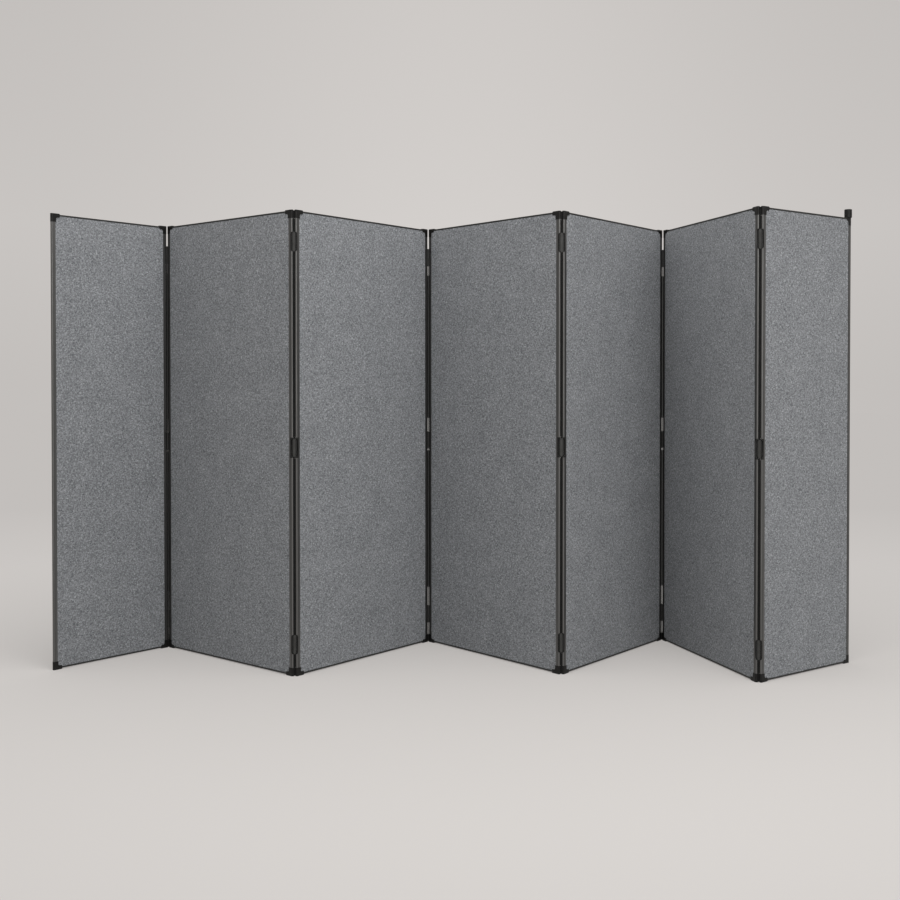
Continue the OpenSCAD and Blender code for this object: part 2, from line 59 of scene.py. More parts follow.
# %% Leaf directions
def leaf_directions(n):
    """The middle, the directions along and outward, and the half sizes of the fabric of leaf n."""
    points = np.array([v.co for v in nodes[f"fabric_{n}"].data.vertices], float)
    middle = (points.min(0) + points.max(0)) / 2
    plan = points[:, :2] - middle[:2]
    along = np.linalg.svd(plan, full_matrices=False)[2][0]
    along = np.append(along * np.sign(along[0]), 0.0)
    outward = np.array([along[1], -along[0], 0.0])
    depth = np.abs((points - middle) @ outward)
    sizes = {
        "half_width": np.abs((points - middle) @ along).max(),
        "half_height": np.abs(points[:, 2] - middle[2]).max(),
        "inner": depth.min(),
        "outer": depth.max(),
    }
    return middle, along, outward, sizes


leaves = {n: leaf_directions(n) for n in LEAVES}
for n, (middle, along, outward, sizes) in leaves.items():
    turn = math.degrees(math.atan2(along[1], along[0]))
    width = 2 * sizes["half_width"] / MM
    print(f"leaf {n}: turn {turn:.1f} degrees, fabric {width:.0f} mm wide")

# %% [markdown]
# ## Colours and nodes
#
# Colours are written as sRGB hex values, the way a colour picker gives them, while the renderer
# works in linear light. One function does the turning. Materials are small graphs of nodes, and
# one more function adds a node: it takes the node's settings, what goes into its sockets, either a
# value or the output of another node, and for a colour ramp its stops.


# %% Colours
def linear(hex_colour):
    """An sRGB hex colour as linear red, green, blue and alpha."""
    channels = [int(hex_colour[i : i + 2], 16) / 255 for i in (1, 3, 5)]
    return [c / 12.92 if c <= 0.04045 else ((c + 0.055) / 1.055) ** 2.4 for c in channels] + [1.0]


# %% Nodes
def add(tree, kind, inputs=None, stops=(), **settings):
    """Adds a node with its settings, its inputs and, for a ramp, its (position, colour) stops."""
    made = tree.nodes.new(kind)
    for name, value in settings.items():
        setattr(made, name, value)
    for socket, value in (inputs or {}).items():
        if isinstance(value, bpy.types.NodeSocket):
            tree.links.new(value, made.inputs[socket])
        else:
            made.inputs[socket].default_value = value
    if stops:
        elements = made.color_ramp.elements
        while len(elements) < len(stops):
            elements.new(0.5)
        for element, (position, colour) in zip(elements, stops):
            element.position = position
            element.color = linear(colour)
    return made


def new_material(name):
    """An empty material: its tree and the surface socket that a shader goes into."""
    material = bpy.data.materials.new(name)
    material.use_nodes = True
    tree = material.node_tree
    tree.nodes.clear()
    output = tree.nodes.new("ShaderNodeOutputMaterial")
    return material, tree, output.inputs["Surface"]


# %% [markdown]
# ## Dark recesses
#
# Slots and grooves look nearly black in the photograph, darker than the renderer's own light makes
# them. An ambient occlusion node tells how open the surroundings of a point are, and we use it to
# mix the finish with near black where walls are close. This is painted shade, matched to the
# photograph by pixel values, and no property of the real metal or plastic.

# %% Shade in recesses
OCCLUSION_SAMPLES = 6
RECESS_BLACK = "#080808"


def shaded_recesses(tree, colour, reach, shut, clear):
    """A colour that is black at an openness of shut and itself at clear, for walls within reach."""
    openness = add(
        tree,
        "ShaderNodeAmbientOcclusion",
        {"Distance": reach},
        samples=OCCLUSION_SAMPLES,
    )
    opened = add(
        tree,
        "ShaderNodeMapRange",
        {"Value": openness.outputs["AO"], "From Min": shut, "From Max": clear},
        interpolation_type="SMOOTHSTEP",
    )
    shaded = add(
        tree,
        "ShaderNodeMix",
        {"Factor": opened.outputs["Result"], 6: linear(RECESS_BLACK), 7: colour},
        data_type="RGBA",
    )
    return shaded.outputs[2]


# %% [markdown]
# ## Loop fabric
#
# Display screens are covered in brushed nylon or polyester loop, a knitted cloth whose short pile
# grips hook tape. The yarn is a blend of darker and lighter fibres, so the eye sees a fine
# salt-and-pepper grey. A flat grey would look like card. We give small cells a tone each at random,
# cross them with two sets of fine knitted rows, turn the sum into one of a run of yarn tones, and
# let the same pattern raise the surface. Loops are about 1 mm apart on the real cloth, which is
# finer than a pixel here, so they are drawn about 4 mm apart to show at all.

# %% Loop fabric pattern
LOOP_SPACING = 3.8 * MM  # real loops are nearer 1 mm: drawn coarser so that they show
ROW_SPACING = 4.4 * MM
ROW_THINNESS = 0.40  # the width of a knitted row as a share of its length
DRIFT_SCALE = 9.0  # patches of paler and darker yarn, about 110 mm across
LOOP_PART, ROW_PART, DRIFT_PART = 0.30, 0.55, 0.10  # how much each adds to the tone
TONE_RANGE = (0.43, 1.07)  # the sums that get the darkest and the palest yarn
CLOTH_TONES = [
    (0.0, "#505256"),
    (0.30, "#717376"),
    (0.55, "#86888b"),
    (0.80, "#9c9ea1"),
    (1.0, "#babcbf"),
]


def cloth_pattern(tree):
    """The sockets of the cloth's colour and of the height of its surface."""
    place = add(tree, "ShaderNodeUVMap", uv_map="cloth")
    # each loop is a cell with a tone of its own
    loops = add(
        tree,
        "ShaderNodeTexVoronoi",
        {"Vector": place.outputs["UV"], "Scale": 1 / LOOP_SPACING, "Randomness": 1.0},
        voronoi_dimensions="2D",
    )
    tone = add(tree, "ShaderNodeSeparateColor", {"Color": loops.outputs["Color"]})
    # knitted rows and ribs: one noise that is long across the leaf, and one that is long up it
    long_way, short_way = ROW_THINNESS / ROW_SPACING, 1 / ROW_SPACING
    threads = []
    for scale in ((long_way, short_way, 1), (short_way, long_way, 1)):
        stretch = add(
            tree,
            "ShaderNodeMapping",
            {"Vector": place.outputs["UV"], "Scale": scale},
        )
        thread = add(
            tree,
            "ShaderNodeTexNoise",
            {"Vector": stretch.outputs["Vector"], "Scale": 1.0, "Detail": 2.0, "Roughness": 0.7},
            noise_dimensions="2D",
        )
        threads.append(thread.outputs["Fac"])
    rows = add(tree, "ShaderNodeMath", {0: threads[0], 1: threads[1]}, operation="ADD")
    # the yarn runs slightly paler and darker over a hand's width
    drift = add(
        tree,
        "ShaderNodeTexNoise",
        {"Vector": place.outputs["UV"], "Scale": DRIFT_SCALE, "Detail": 2.0},
        noise_dimensions="2D",
    )
    blend = add(
        tree,
        "ShaderNodeMath",
        {0: tone.outputs["Red"], 1: LOOP_PART},
        operation="MULTIPLY",
    )
    for part, share in ((rows.outputs["Value"], ROW_PART), (drift.outputs["Fac"], DRIFT_PART)):
        blend = add(
            tree,
            "ShaderNodeMath",
            {0: part, 1: share, 2: blend.outputs["Value"]},
            operation="MULTIPLY_ADD",
        )
    level = add(
        tree,
        "ShaderNodeMapRange",
        {"Value": blend.outputs["Value"], "From Min": TONE_RANGE[0], "From Max": TONE_RANGE[1]},
    )
    colour = add(tree, "ShaderNodeValToRGB", {"Fac": level.outputs["Result"]}, CLOTH_TONES)
    relief = add(
        tree,
        "ShaderNodeMath",
        {0: loops.outputs["Distance"], 1: -0.5, 2: rows.outputs["Value"]},
        operation="MULTIPLY_ADD",
    )
    return colour.outputs["Color"], relief.outputs["Value"]


# %% Loop fabric material
PILE_HEIGHT = 0.5 * MM


def loop_fabric():
    """A dry pile: very rough, with a little sheen from the fibre ends."""
    material, tree, surface = new_material("loop_fabric_grey_melange")
    colour, relief = cloth_pattern(tree)
    bump = add(
        tree,
        "ShaderNodeBump",
        {"Height": relief, "Strength": 0.45, "Distance": PILE_HEIGHT},
    )
    cloth = add(
        tree,
        "ShaderNodeBsdfPrincipled",
        {
            "Base Color": colour,
            "Roughness": 0.92,
            "IOR": 1.46,
            "Specular IOR Level": 0.25,
            "Sheen Weight": 0.08,
            "Sheen Roughness": 0.5,
            "Normal": bump.outputs["Normal"],
        },
    )
    tree.links.new(cloth.outputs["BSDF"], surface)
    return material


fabric_finish = loop_fabric()
print("made", fabric_finish.name)

# %% [markdown]
# ## Cutting and stretching the cloth
#
# Each leaf has one cloth on its near face and one on its far face, pulled tight over the board with
# its edges pushed into the frame. A tight cloth is nearly flat, but not dead flat: it rounds over
# at the frame and has faint hollows where the tension changes. A cloth simulation would add nothing
# to a sheet that can't sag, so the sheet is a fine grid of points with a rounded rim and a gentle
# seeded relief, closed at the back.

# %% Outline and relief of a sheet
GRID_STEP = 12 * MM
RIM_RADIUS = 1.6 * MM
RIM_STEPS = (0.0, 0.25, 0.6, 1.0, 1.6, 3.0)  # rows of points near the edge, in mm from it
RIM_LOW = 0.3  # what is left of the cloth's thickness at its very edge
RIPPLE = 0.10 * MM
BROAD_HOLLOWS = (0.11, 0.16)  # metres across and up
FINE_HOLLOWS = (0.04, 0.05)
FINE_PART = 0.5
RIPPLE_STARTS = 0.02  # the relief grows to its full height over this distance from the edge


def grid_lines(half):
    """Positions across a sheet: close together at the rounded rim, then evenly spaced."""
    rim = [step * MM for step in RIM_STEPS]
    count = math.ceil(2 * (half - rim[-1]) / GRID_STEP)
    even = np.linspace(-half + rim[-1], half - rim[-1], count + 1)
    low = [-half + r for r in rim[:-1]]
    high = [half - r for r in reversed(rim[:-1])]
    return np.array(low + list(even) + high)


def hollows(u, v, seed, size):
    """Smooth hollows and rises of a given size across and up."""
    return noise.noise(Vector((u / size[0], v / size[1], seed)))


def cloth_height(u, v, half_width, half_height, thickness, seed):
    """How far the front of the cloth stands off the board at one point."""
    edge = min(half_width - abs(u), half_height - abs(v))
    lift = 1.0
    if edge < RIM_RADIUS:
        lift = RIM_LOW + (1 - RIM_LOW) * math.sqrt(1 - (1 - edge / RIM_RADIUS) ** 2)
    slack = hollows(u, v, seed, BROAD_HOLLOWS) + FINE_PART * hollows(u, v, seed, FINE_HOLLOWS)
    return lift * thickness + RIPPLE * slack * min(1.0, edge / RIPPLE_STARTS)


# %% [markdown]
# ### One closed sheet
#
# The front and the back are two grids with the same numbering, so the faces of the back are those
# of the front in reverse, and a strip of faces along the rim closes the sheet. Each sheet takes its
# own part of the cloth pattern, so that no two leaves look alike.


# %% Faces of a sheet
def sheet_faces(wide, tall, side):
    """The faces of two grids of points, front then back, and of the rim between them."""
    start = wide * tall
    faces = []
    for j in range(tall - 1):
        for i in range(wide - 1):
            a = j * wide + i
            faces.append((a, a + 1, a + 1 + wide, a + wide))
            faces.append((start + a, start + a + wide, start + a + 1 + wide, start + a + 1))
    rim = list(range(wide)) + [j * wide + wide - 1 for j in range(1, tall)]
    rim += [(tall - 1) * wide + i for i in range(wide - 2, -1, -1)]
    rim += [j * wide for j in range(tall - 2, 0, -1)]
    for a, b in zip(rim, rim[1:] + rim[:1]):
        faces.append((b, a, start + a, start + b))
    return faces if side == 1 else [face[::-1] for face in faces]


# %% Stretched sheets
def stretched_sheet(n, side):
    """The cloth on the near (1) or far (-1) face of leaf n."""
    middle, along, outward, sizes = leaves[n]
    half_width, half_height = sizes["half_width"], sizes["half_height"]
    thickness = sizes["outer"] - sizes["inner"]
    us, vs = grid_lines(half_width), grid_lines(half_height)
    seed = 10.0 * n + side
    front, back = [], []
    for v in vs:
        for u in us:
            height = cloth_height(u, v, half_width, half_height, thickness, seed)
            base = middle + u * along + np.array([0, 0, v])
            front.append(base + side * outward * (sizes["inner"] + height))
            back.append(base + side * outward * sizes["inner"])
    name = f"cloth_{n}_{'near' if side == 1 else 'far'}"
    mesh = bpy.data.meshes.new(name)
    mesh.from_pydata([tuple(p) for p in front + back], [], sheet_faces(len(us), len(vs), side))
    uv = mesh.uv_layers.new(name="cloth")
    flat = np.array([(u + 2.0 * n, v + side) for v in vs for u in us] * 2)
    corners = np.zeros(len(mesh.loops), int)
    mesh.loops.foreach_get("vertex_index", corners)
    uv.data.foreach_set("uv", flat[corners].ravel())
    mesh.polygons.foreach_set("use_smooth", [True] * len(mesh.polygons))
    mesh.materials.append(fabric_finish)
    sheet = bpy.data.objects.new(name, mesh)
    bpy.context.scene.collection.objects.link(sheet)
    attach(sheet, f"leaf_{n}")
    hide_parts(f"fabric_{n}")
    return sheet


sheets = [stretched_sheet(n, side) for n in LEAVES for side in (1, -1)]
print("sheets", len(sheets), "faces in all", sum(len(s.data.polygons) for s in sheets))

# %% [markdown]
# ## Anodised aluminium frame
#
# The stiles and rails are drawn aluminium sections, anodised in a dark grey. Drawing leaves faint
# lines along the length, and the anodised skin blurs reflections into soft streaks. So the metal is
# metallic with a dark base colour, its roughness varies in streaks along the section, and a very
# shallow bump follows the same streaks. Its colour also gets painted shade, near black, where walls
# are close. Lines run up the stiles and along the rails, so the noise is stretched in height for
# one and in plan for the other.

# %% Anodised aluminium material
DIE_LINE = 1.6 * MM  # real die lines are about 0.2 mm apart: drawn coarser so that they show
ACROSS_LINES = 1 / DIE_LINE
ALONG_LINES = 3.0  # a line runs on for about a third of a metre
LINE_DEPTH = 0.03 * MM
HANDLING_SCALE = 14.0  # hands leave patches about 70 mm across
METAL_ROUGHNESS = (0.42, 0.54)
METAL_PAINTED_SHADE = (7 * MM, 0.35, 0.75)  # reach, shut and clear of the painted shade in recesses


def anodised_aluminium(name, stretch, dark, light):
    material, tree, surface = new_material(name)
    place = add(tree, "ShaderNodeTexCoord")
    lines_at = add(
        tree,
        "ShaderNodeMapping",
        {"Vector": place.outputs["Object"], "Scale": stretch},
    )
    lines = add(
        tree,
        "ShaderNodeTexNoise",
        {"Vector": lines_at.outputs["Vector"], "Scale": 1.0, "Detail": 4.0, "Roughness": 0.6},
    )
    handling = add(
        tree,
        "ShaderNodeTexNoise",
        {
            "Vector": place.outputs["Object"],
            "Scale": HANDLING_SCALE,
            "Detail": 4.0,
            "Roughness": 0.6,
        },
    )
    colour = add(
        tree,
        "ShaderNodeValToRGB",
        {"Fac": lines.outputs["Fac"]},
        [(0.3, dark), (0.7, light)],
    )
    mix = add(
        tree,
        "ShaderNodeMath",
        {0: lines.outputs["Fac"], 1: handling.outputs["Fac"]},
        operation="ADD",
    )
    rough = add(
        tree,
        "ShaderNodeMapRange",
        {
            "Value": mix.outputs["Value"],
            "From Min": 0.7,
            "From Max": 1.3,
            "To Min": METAL_ROUGHNESS[0],
            "To Max": METAL_ROUGHNESS[1],
        },
    )
    bump = add(
        tree,
        "ShaderNodeBump",
        {"Height": lines.outputs["Fac"], "Strength": 0.25, "Distance": LINE_DEPTH},
    )
    # painted shade: the metal's colour turns near black where walls are close
    metal = add(
        tree,
        "ShaderNodeBsdfPrincipled",
        {
            "Base Color": shaded_recesses(tree, colour.outputs["Color"], *METAL_PAINTED_SHADE),
            "Metallic": 1.0,
            "Roughness": rough.outputs["Result"],
            "Normal": bump.outputs["Normal"],
        },
    )
    tree.links.new(metal.outputs["BSDF"], surface)
    return material


# %% Stiles and rails
stile_metal = anodised_aluminium(
    "anodised_aluminium_stile",
    (ACROSS_LINES, ACROSS_LINES, ALONG_LINES),
    "#5e5e5d",
    "#727271",
)
rail_metal = anodised_aluminium(
    "anodised_aluminium_rail",
    (ALONG_LINES, ALONG_LINES, ACROSS_LINES),
    "#3f3f3e",
    "#4f4f4e",
)
print("made", stile_metal.name, "and", rail_metal.name)

# %% [markdown]
# ## Moulded plastic
#
# Corner caps, collars and hinge links are taken for black nylon mouldings. The tool that shapes
# such a piece is spark-eroded, which leaves a fine grain, and handling leaves slightly greyer,
# smoother patches. So the plastic is a dark neutral with a fine grain bump, and one noise gives it
# its greyer patches and makes them smoother. Every moulding gets painted shade, near black, in its
# recesses. The hinge links look paler on their ridge and black at their edges, so theirs is a paler
# copy of the black nylon, a painted highlight for the light on the ridge, with the strongest
# painted shade. The collars are a paler copy, standing for their lit outer faces, with stronger
# painted shade beside the links.

# %% Moulded nylon material
GRAIN = 0.9 * MM  # a spark-eroded grain is about 0.3 mm: drawn coarser so that it shows
GRAIN_DEPTH = 0.08 * MM
RUB_SCALE = 60.0  # rubbed patches are about 17 mm across


def moulded_nylon(name, dark, rubbed, roughness, recess):
    """Nylon from a dark to a rubbed colour and a low to a high roughness, with shaded recesses."""
    material, tree, surface = new_material(name)
    place = add(tree, "ShaderNodeTexCoord")
    grain = add(
        tree,
        "ShaderNodeTexVoronoi",
        {"Vector": place.outputs["Object"], "Scale": 1 / GRAIN},
        feature="SMOOTH_F1",
    )
    rub = add(
        tree,
        "ShaderNodeTexNoise",
        {"Vector": place.outputs["Object"], "Scale": RUB_SCALE, "Detail": 5.0, "Roughness": 0.65},
    )
    colour = add(
        tree,
        "ShaderNodeValToRGB",
        {"Fac": rub.outputs["Fac"]},
        [(0.35, dark), (0.75, rubbed)],
    )
    rough = add(
        tree,
        "ShaderNodeMapRange",
        {
            "Value": rub.outputs["Fac"],
            "From Min": 0.3,
            "From Max": 0.7,
            "To Min": roughness[1],
            "To Max": roughness[0],
        },
    )
    bump = add(
        tree,
        "ShaderNodeBump",
        {"Height": grain.outputs["Distance"], "Strength": 0.3, "Distance": GRAIN_DEPTH},
    )
    plastic = add(
        tree,
        "ShaderNodeBsdfPrincipled",
        {
            "Base Color": shaded_recesses(tree, colour.outputs["Color"], *recess),
            "Roughness": rough.outputs["Result"],
            "IOR": 1.53,
            "Specular IOR Level": 0.22,
            "Normal": bump.outputs["Normal"],
        },
    )
    tree.links.new(plastic.outputs["BSDF"], surface)
    return material


# %% Caps, collars and links
# painted shade: the caps turn near black in their recesses
cap_plastic = moulded_nylon(
    "moulded_nylon_black",
    "#10100f",
    "#1c1b1a",
    roughness=(0.42, 0.56),
    recess=(5 * MM, 0.40, 0.85),
)
# painted light: paler than the caps for the lit outer faces, with stronger painted shade beside the
# link
collar_plastic = moulded_nylon(
    "moulded_nylon_collar_painted_shade",
    "#1c1c1b",
    "#292927",
    roughness=(0.42, 0.56),
    recess=(6 * MM, 0.72, 0.985),
)
# painted highlight and shade: paler than the caps for the lit ridge, near black at the edges
link_plastic = moulded_nylon(
    "moulded_nylon_hinge_painted_highlight",
    "#343432",
    "#414140",
    roughness=(0.38, 0.50),
    recess=(10 * MM, 0.86, 0.985),
)
print("made", cap_plastic.name, "and", collar_plastic.name, "and", link_plastic.name)

# %% [markdown]
# ## Rubber strips
#
# The strips in the gaps are taken for black rubber, duller than the mouldings. In the photograph
# they are greyer inside a fold, where the leaves close round them, than on the outside of a fold.
# An ambient occlusion node with a long reach finds the sheltered places, and there the strip is
# mixed towards a paler grey.

# %% Extruded rubber material
RUBBER_SHELTERED_GREY = "#4f4f4e"
SHELTER_REACH = 60 * MM
SHELTER = (0.5, 0.8)  # the openness where the paler grey is full, and where there is none
CAP_TOP, SHELTERED_GREY_STARTS = 33 * MM, 50 * MM  # the heights between which the paler grey begins


def black_rubber():
    material, tree, surface = new_material("extruded_rubber_black")
    place = add(tree, "ShaderNodeTexCoord")
    mottle = add(
        tree,
        "ShaderNodeTexNoise",
        {"Vector": place.outputs["Object"], "Scale": 90.0, "Detail": 6.0, "Roughness": 0.7},
    )
    plain_black = add(
        tree,
        "ShaderNodeValToRGB",
        {"Fac": mottle.outputs["Fac"]},
        [(0.4, "#0e0e0e"), (0.8, "#1e1e1d")],
    )
    openness = add(
        tree,
        "ShaderNodeAmbientOcclusion",
        {"Distance": SHELTER_REACH},
        samples=OCCLUSION_SAMPLES,
    )
    unsheltered = add(
        tree,
        "ShaderNodeMapRange",
        {"Value": openness.outputs["AO"], "From Min": SHELTER[0], "From Max": SHELTER[1]},
        interpolation_type="SMOOTHSTEP",
    )
    # the strip stays black below the tops of the bottom caps
    height = add(tree, "ShaderNodeSeparateXYZ", {0: place.outputs["Object"]})
    capped = add(
        tree,
        "ShaderNodeMapRange",
        {
            "Value": height.outputs["Z"],
            "From Min": CAP_TOP,
            "From Max": SHELTERED_GREY_STARTS,
            "To Min": 1.0,
            "To Max": 0.0,
        },
    )
    black = add(
        tree,
        "ShaderNodeMath",
        {0: unsheltered.outputs["Result"], 1: capped.outputs["Result"]},
        operation="MAXIMUM",
    )
    # paler grey where the strip is sheltered, black elsewhere and near the floor
    colour = add(
        tree,
        "ShaderNodeMix",
        {"Factor": black.outputs["Value"], 6: linear(RUBBER_SHELTERED_GREY), 7: plain_black.outputs["Color"]},
        data_type="RGBA",
    )
    bump = add(
        tree,
        "ShaderNodeBump",
        {"Height": mottle.outputs["Fac"], "Strength": 0.2, "Distance": 0.1 * MM},
    )
    rubber = add(
        tree,
        "ShaderNodeBsdfPrincipled",
        {
            "Base Color": colour.outputs[2],
            "Roughness": 0.72,
            "IOR": 1.52,
            "Specular IOR Level": 0.15,
            "Normal": bump.outputs["Normal"],
        },
    )
    tree.links.new(rubber.outputs["BSDF"], surface)
    return material


# %% [markdown]
# ## Steel pins and fibre board
#
# The hinge pins are taken for bright zinc-plated steel, seen only down the slots. The board under
# the fabric is taken for fibre board, brown and matt. Neither can be told from the photograph: the
# board is hidden, but a leaf without its cloth should still look like a leaf.


# %% Zinc-plated steel material
def zinc_steel():
    material, tree, surface = new_material("zinc_plated_steel")
    place = add(tree, "ShaderNodeTexCoord")
    spangle = add(
        tree,
        "ShaderNodeTexNoise",
        {"Vector": place.outputs["Object"], "Scale": 400.0, "Detail": 3.0},
    )
    colour = add(
        tree,
        "ShaderNodeValToRGB",
        {"Fac": spangle.outputs["Fac"]},
        [(0.3, "#a9adb0"), (0.7, "#c6c8c8")],
    )
    rough = add(
        tree,
        "ShaderNodeMapRange",
        {"Value": spangle.outputs["Fac"], "To Min": 0.22, "To Max": 0.40},
    )
    steel = add(
        tree,
        "ShaderNodeBsdfPrincipled",
        {
            "Base Color": colour.outputs["Color"],
            "Metallic": 1.0,
            "Roughness": rough.outputs["Result"],
        },
    )
    tree.links.new(steel.outputs["BSDF"], surface)
    return material


# %% Fibre board material
def fibre_board():
    material, tree, surface = new_material("fibre_board_brown")
    place = add(tree, "ShaderNodeTexCoord")
    fibres = add(
        tree,
        "ShaderNodeTexNoise",
        {"Vector": place.outputs["Object"], "Scale": 500.0, "Detail": 5.0, "Roughness": 0.75},
    )
    colour = add(
        tree,
        "ShaderNodeValToRGB",
        {"Fac": fibres.outputs["Fac"]},
        [(0.3, "#8d7350"), (0.7, "#b39a74")],
    )
    bump = add(
        tree,
        "ShaderNodeBump",
        {"Height": fibres.outputs["Fac"], "Strength": 0.3, "Distance": 0.1 * MM},
    )
    board = add(
        tree,
        "ShaderNodeBsdfPrincipled",
        {
            "Base Color": colour.outputs["Color"],
            "Roughness": 0.85,
            "IOR": 1.5,
            "Normal": bump.outputs["Normal"],
        },
    )
    tree.links.new(board.outputs["BSDF"], surface)
    return material


# %% [markdown]
# ## Dressing the solids
#
# The solids of the frame already have the real outlines, so they are shown as they are and only get
# a finish. A node's name is its kind of piece and the number of its leaf or fold, so the kind alone
# picks the finish.

# %% Dress the solids
finishes = {
    "board": fibre_board(),
    "fabric": fabric_finish,
    "rails": rail_metal,
    "stiles": stile_metal,
    "caps": cap_plastic,
    "collars": collar_plastic,
    "links": link_plastic,
    "pins": zinc_steel(),
    "gap_strips": black_rubber(),
}
for name, solid in nodes.items():
    finish = finishes[name.rsplit("_", 1)[0]]
    solid.data.materials.clear()
    solid.data.materials.append(finish)
print("finishes", {kind: finish.name for kind, finish in finishes.items()})

# %% [markdown]
# ## Floor and background
#
# The screen was photographed on a seamless pale sweep. A wall behind it would hide it from the
# back, so there is only a floor, and the sky stands for the wall. The floor fades into the sky's
# colour a few metres out, which gives a seamless ground from every side, and near the screen it is
# mostly an ordinary matt floor that takes its shadow. To the lamps the floor is darker than it
# looks, as it doesn't throw light up on the fabric in the photograph. The sweep also gets darker
# to the left and right, so the sky and the far floor share one falloff, and no horizon shows.

# %% The sweep's colours
FLOOR_COLOUR = "#d2cecb"
FLOOR_TO_LAMPS = "#a09e9c"
WALL_LOW = "#cdc9c6"
WALL_MIDDLE = "#d3cfcc"
WALL_HIGH = "#ccc8c5"
WALL_MIDDLE_AT, WALL_HIGH_AT = 0.12, 0.34  # how steeply up one looks to see these, as a sine
SWEEP_SHARE = 0.4  # how much of the floor's look near the screen is the sweep's even tone
SWEEP_DIMS = (0.36, 0.89)  # how far sideways the sweep dims, as a sine, and what is left there
FILL = 0.63  # the strength of the even light from all round
FILL_COLOUR = "#fffffe"


# %% [markdown]
# ### What the camera sees, and what lights the screen
#
# A light path node tells which kind of ray asks for a colour. The pale sweep is shown to the camera
# and to what metal or glass mirrors, and all other rays get the even fill.


# %% Helpers for the sweep
def add_seen(tree):
    """A socket that is 1 for camera, glossy and transmission rays, and 0 for the rest."""
    path = add(tree, "ShaderNodeLightPath")
    seen = path.outputs["Is Camera Ray"]
    for kind in ("Is Glossy Ray", "Is Transmission Ray"):
        either = add(
            tree,
            "ShaderNodeMath",
            {0: seen, 1: path.outputs[kind]},
            operation="MAXIMUM",
        )
        seen = either.outputs["Value"]
    return seen


def add_falloff(tree, way):
    """Dims the sweep to the left and right: takes a way of length 1 and gives a strength."""
    parts = add(tree, "ShaderNodeSeparateXYZ", {0: way})
    sideways = add(tree, "ShaderNodeMath", {0: parts.outputs["X"]}, operation="ABSOLUTE")
    dimmed = add(
        tree,
        "ShaderNodeMapRange",
        {
            "Value": sideways.outputs["Value"],
            "From Max": SWEEP_DIMS[0],
            "To Min": 1.0,
            "To Max": SWEEP_DIMS[1],
        },
        interpolation_type="SMOOTHSTEP",
    )
    return dimmed.outputs["Result"]


# %% Floor material
FADE = (1.6, 3.8)  # metres from the middle between which the floor turns into the sweep
DIMS = (2.4, 7.0)  # metres between which the sideways falloff comes in


def floor_material():
    material, tree, surface = new_material("studio_floor")
    place = add(tree, "ShaderNodeTexCoord")
    distance = add(
        tree,
        "ShaderNodeVectorMath",
        {0: place.outputs["Object"]},
        operation="LENGTH",
    )
    seen = add_seen(tree)
    near_share = add(tree, "ShaderNodeMath", {0: seen, 1: SWEEP_SHARE}, operation="MULTIPLY")
    sky_share = add(
        tree,
        "ShaderNodeMapRange",
        {
            "Value": distance.outputs["Value"],
            "From Min": FADE[0],
            "From Max": FADE[1],
            "To Min": near_share.outputs["Value"],
        },
        interpolation_type="SMOOTHSTEP",
    )
    colour = add(
        tree,
        "ShaderNodeMix",
        {"Factor": seen, 6: linear(FLOOR_TO_LAMPS), 7: linear(FLOOR_COLOUR)},
        data_type="RGBA",
    )
    matt = add(tree, "ShaderNodeBsdfDiffuse", {"Color": colour.outputs[2]})
    # far out the floor dims to the left and right as the sky above it does
    way = add(
        tree,
        "ShaderNodeVectorMath",
        {0: place.outputs["Object"]},
        operation="NORMALIZE",
    )
    shown = add(
        tree,
        "ShaderNodeMapRange",
        {
            "Value": distance.outputs["Value"],
            "From Min": DIMS[0],
            "From Max": DIMS[1],
            "To Min": 1.0,
            "To Max": add_falloff(tree, way.outputs["Vector"]),
        },
    )
    strength = add(
        tree,
        "ShaderNodeMapRange",
        {"Value": seen, "To Min": FILL, "To Max": shown.outputs["Result"]},
    )
    sweep = add(
        tree,
        "ShaderNodeEmission",
        {"Color": linear(WALL_LOW), "Strength": strength.outputs["Result"]},
    )
    both = add(
        tree,
        "ShaderNodeMixShader",
        {0: sky_share.outputs["Result"], 1: matt.outputs["BSDF"], 2: sweep.outputs["Emission"]},
    )
    tree.links.new(both.outputs["Shader"], surface)
    return material


# %% Floor
FLOOR_RADIUS = 40

bpy.ops.mesh.primitive_circle_add(
    vertices=128,
    radius=FLOOR_RADIUS,
    fill_type="NGON",
    location=(0, 0, 0),
)
floor = bpy.context.object
floor.name = "studio_floor"
floor.data.materials.append(floor_material())
print("floor", FLOOR_RADIUS, "m in radius")

# %% [markdown]
# ### The sky
#
# The sky is a run of three close tones from the horizon up, dimmed sideways. It could be a flat
# colour, but the sweep in the photograph is palest a little above the horizon.

# %% Background
world = bpy.data.worlds.new("studio")
bpy.context.scene.world = world
world.use_nodes = True
sky = world.node_tree
sky.nodes.clear()
direction = add(sky, "ShaderNodeTexCoord")
height = add(sky, "ShaderNodeSeparateXYZ", {0: direction.outputs["Generated"]})
wall = add(
    sky,
    "ShaderNodeValToRGB",
    {"Fac": height.outputs["Z"]},
    [(0.0, WALL_LOW), (WALL_MIDDLE_AT, WALL_MIDDLE), (WALL_HIGH_AT, WALL_HIGH)],
)
falloff = add_falloff(sky, direction.outputs["Generated"])
shown = add(
    sky,
    "ShaderNodeBackground",
    {"Color": wall.outputs["Color"], "Strength": falloff},
)
fill = add(sky, "ShaderNodeBackground", {"Color": linear(FILL_COLOUR), "Strength": FILL})
both = add(
    sky,
    "ShaderNodeMixShader",
    {0: add_seen(sky), 1: fill.outputs["Background"], 2: shown.outputs["Background"]},
)
add(sky, "ShaderNodeOutputWorld", {"Surface": both.outputs["Shader"]})
print("sky nodes", len(sky.nodes))

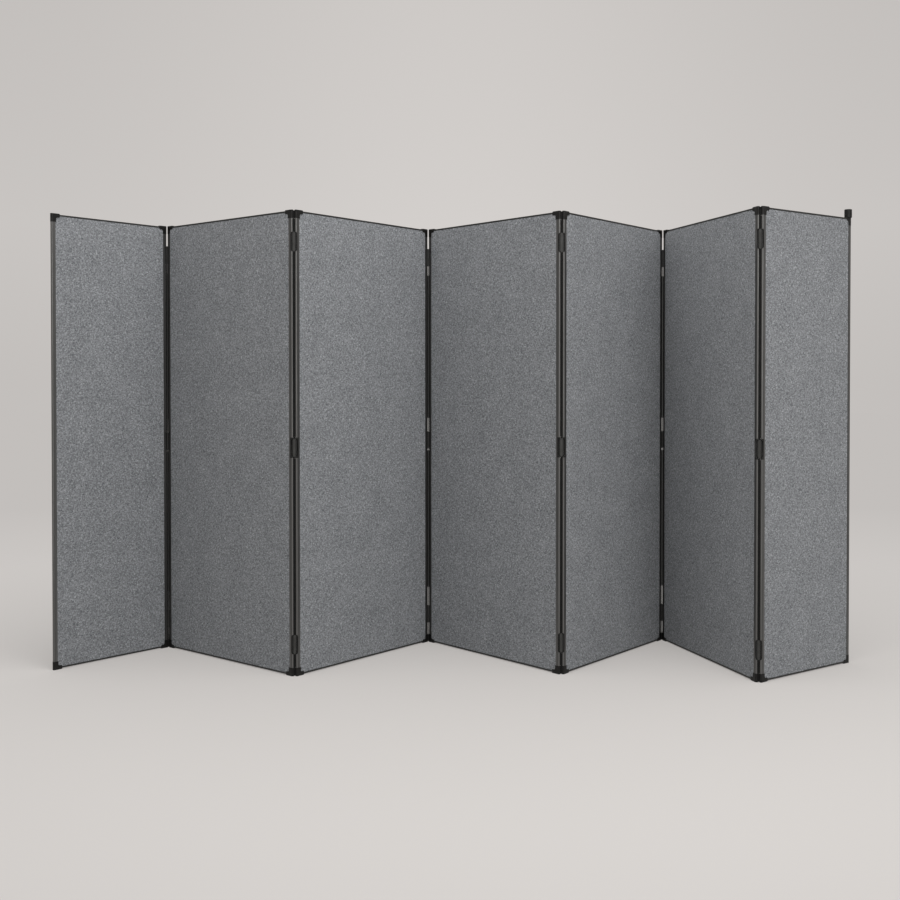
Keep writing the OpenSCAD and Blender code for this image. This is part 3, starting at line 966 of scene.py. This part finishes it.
# %% [markdown]
# ## Lamps
#
# The light in the photograph is broad and soft. The faces that look right are a little brighter
# than those that look left, and everything gets darker towards the floor. So the lamps are a big
# soft box in front and above, a little to the right, another further right, a weak card at the
# right side and a wide box overhead. Their powers come from rendering each lamp alone and fitting
# the sum to the tones of the leaves. The places of the real lamps aren't known. Big lamps give the
# wide, weak shadow at the feet of the leaves.

# %% Soft boxes
LAMP_TARGET = (0, 0, 0.9)  # the middle of the screen, at half its height
LAMPS = {  # place in metres, size in metres, power in watts, colour
    "key_box": ((1.5, -5.2, 2.8), 3.0, 48, "#fffefc"),
    "right_box": ((3.4, -4.6, 2.6), 2.5, 52, "#ffffff"),
    "side_card": ((5.2, -0.6, 1.5), 3.0, 4, "#ffffff"),
    "top_box": ((0.0, -1.6, 4.6), 4.0, 97, "#ffffff"),
}


def soft_box(name, place, size, power, colour):
    """A square lamp turned to the screen and left out of the camera's view."""
    lamp = bpy.data.lights.new(name, "AREA")
    lamp.shape = "SQUARE"
    lamp.size = size
    lamp.energy = power
    lamp.color = linear(colour)[:3]
    box = bpy.data.objects.new(name, lamp)
    box.location = place
    to_screen = Vector(LAMP_TARGET) - Vector(place)
    box.rotation_euler = to_screen.to_track_quat("-Z", "Y").to_euler()
    box.visible_camera = False
    bpy.context.scene.collection.objects.link(box)


for name, lamp in LAMPS.items():
    soft_box(name, *lamp)
print("lamps", {name: f"{lamp[2]} W" for name, lamp in LAMPS.items()})

# %% [markdown]
# ## Camera
#
# The camera stands 5 metres in front of the screen at chest height. Its place, lens and shift come
# from matching the top and bottom ends of the eight upright lines of the frame, two to each line,
# by least squares. That fixes its height well, and its distance and lens only loosely, since a
# camera further off with a longer lens sees nearly the same.

# %% Camera
IMAGE = 900  # the image is square, this many pixels each way
FOCAL_PIXELS = 1237.2
CENTRE_X, CENTRE_Y = 466.1, 400.3  # the pixel that the lens looks straight at
SENSOR_WIDTH = 36.0  # millimetres, as on a full-frame camera
CAMERA_PLACE = (0.0400, -5.0484, 1.1460)
CAMERA_TILT = 0.0166  # radians down from level

camera_data = bpy.data.cameras.new("camera")
camera_data.sensor_width = SENSOR_WIDTH
camera_data.sensor_fit = "HORIZONTAL"
camera_data.lens = FOCAL_PIXELS / IMAGE * SENSOR_WIDTH
camera_data.shift_x = (IMAGE / 2 - CENTRE_X) / IMAGE
camera_data.shift_y = (CENTRE_Y - IMAGE / 2) / IMAGE
camera_data.clip_end = 200
camera = bpy.data.objects.new("camera", camera_data)
camera.location = CAMERA_PLACE
camera.rotation_euler = (math.pi / 2 - CAMERA_TILT, 0, 0)
bpy.context.scene.collection.objects.link(camera)
bpy.context.scene.camera = camera
bpy.context.scene.view_settings.view_transform = "Standard"
print("lens", round(camera_data.lens, 2), "mm")
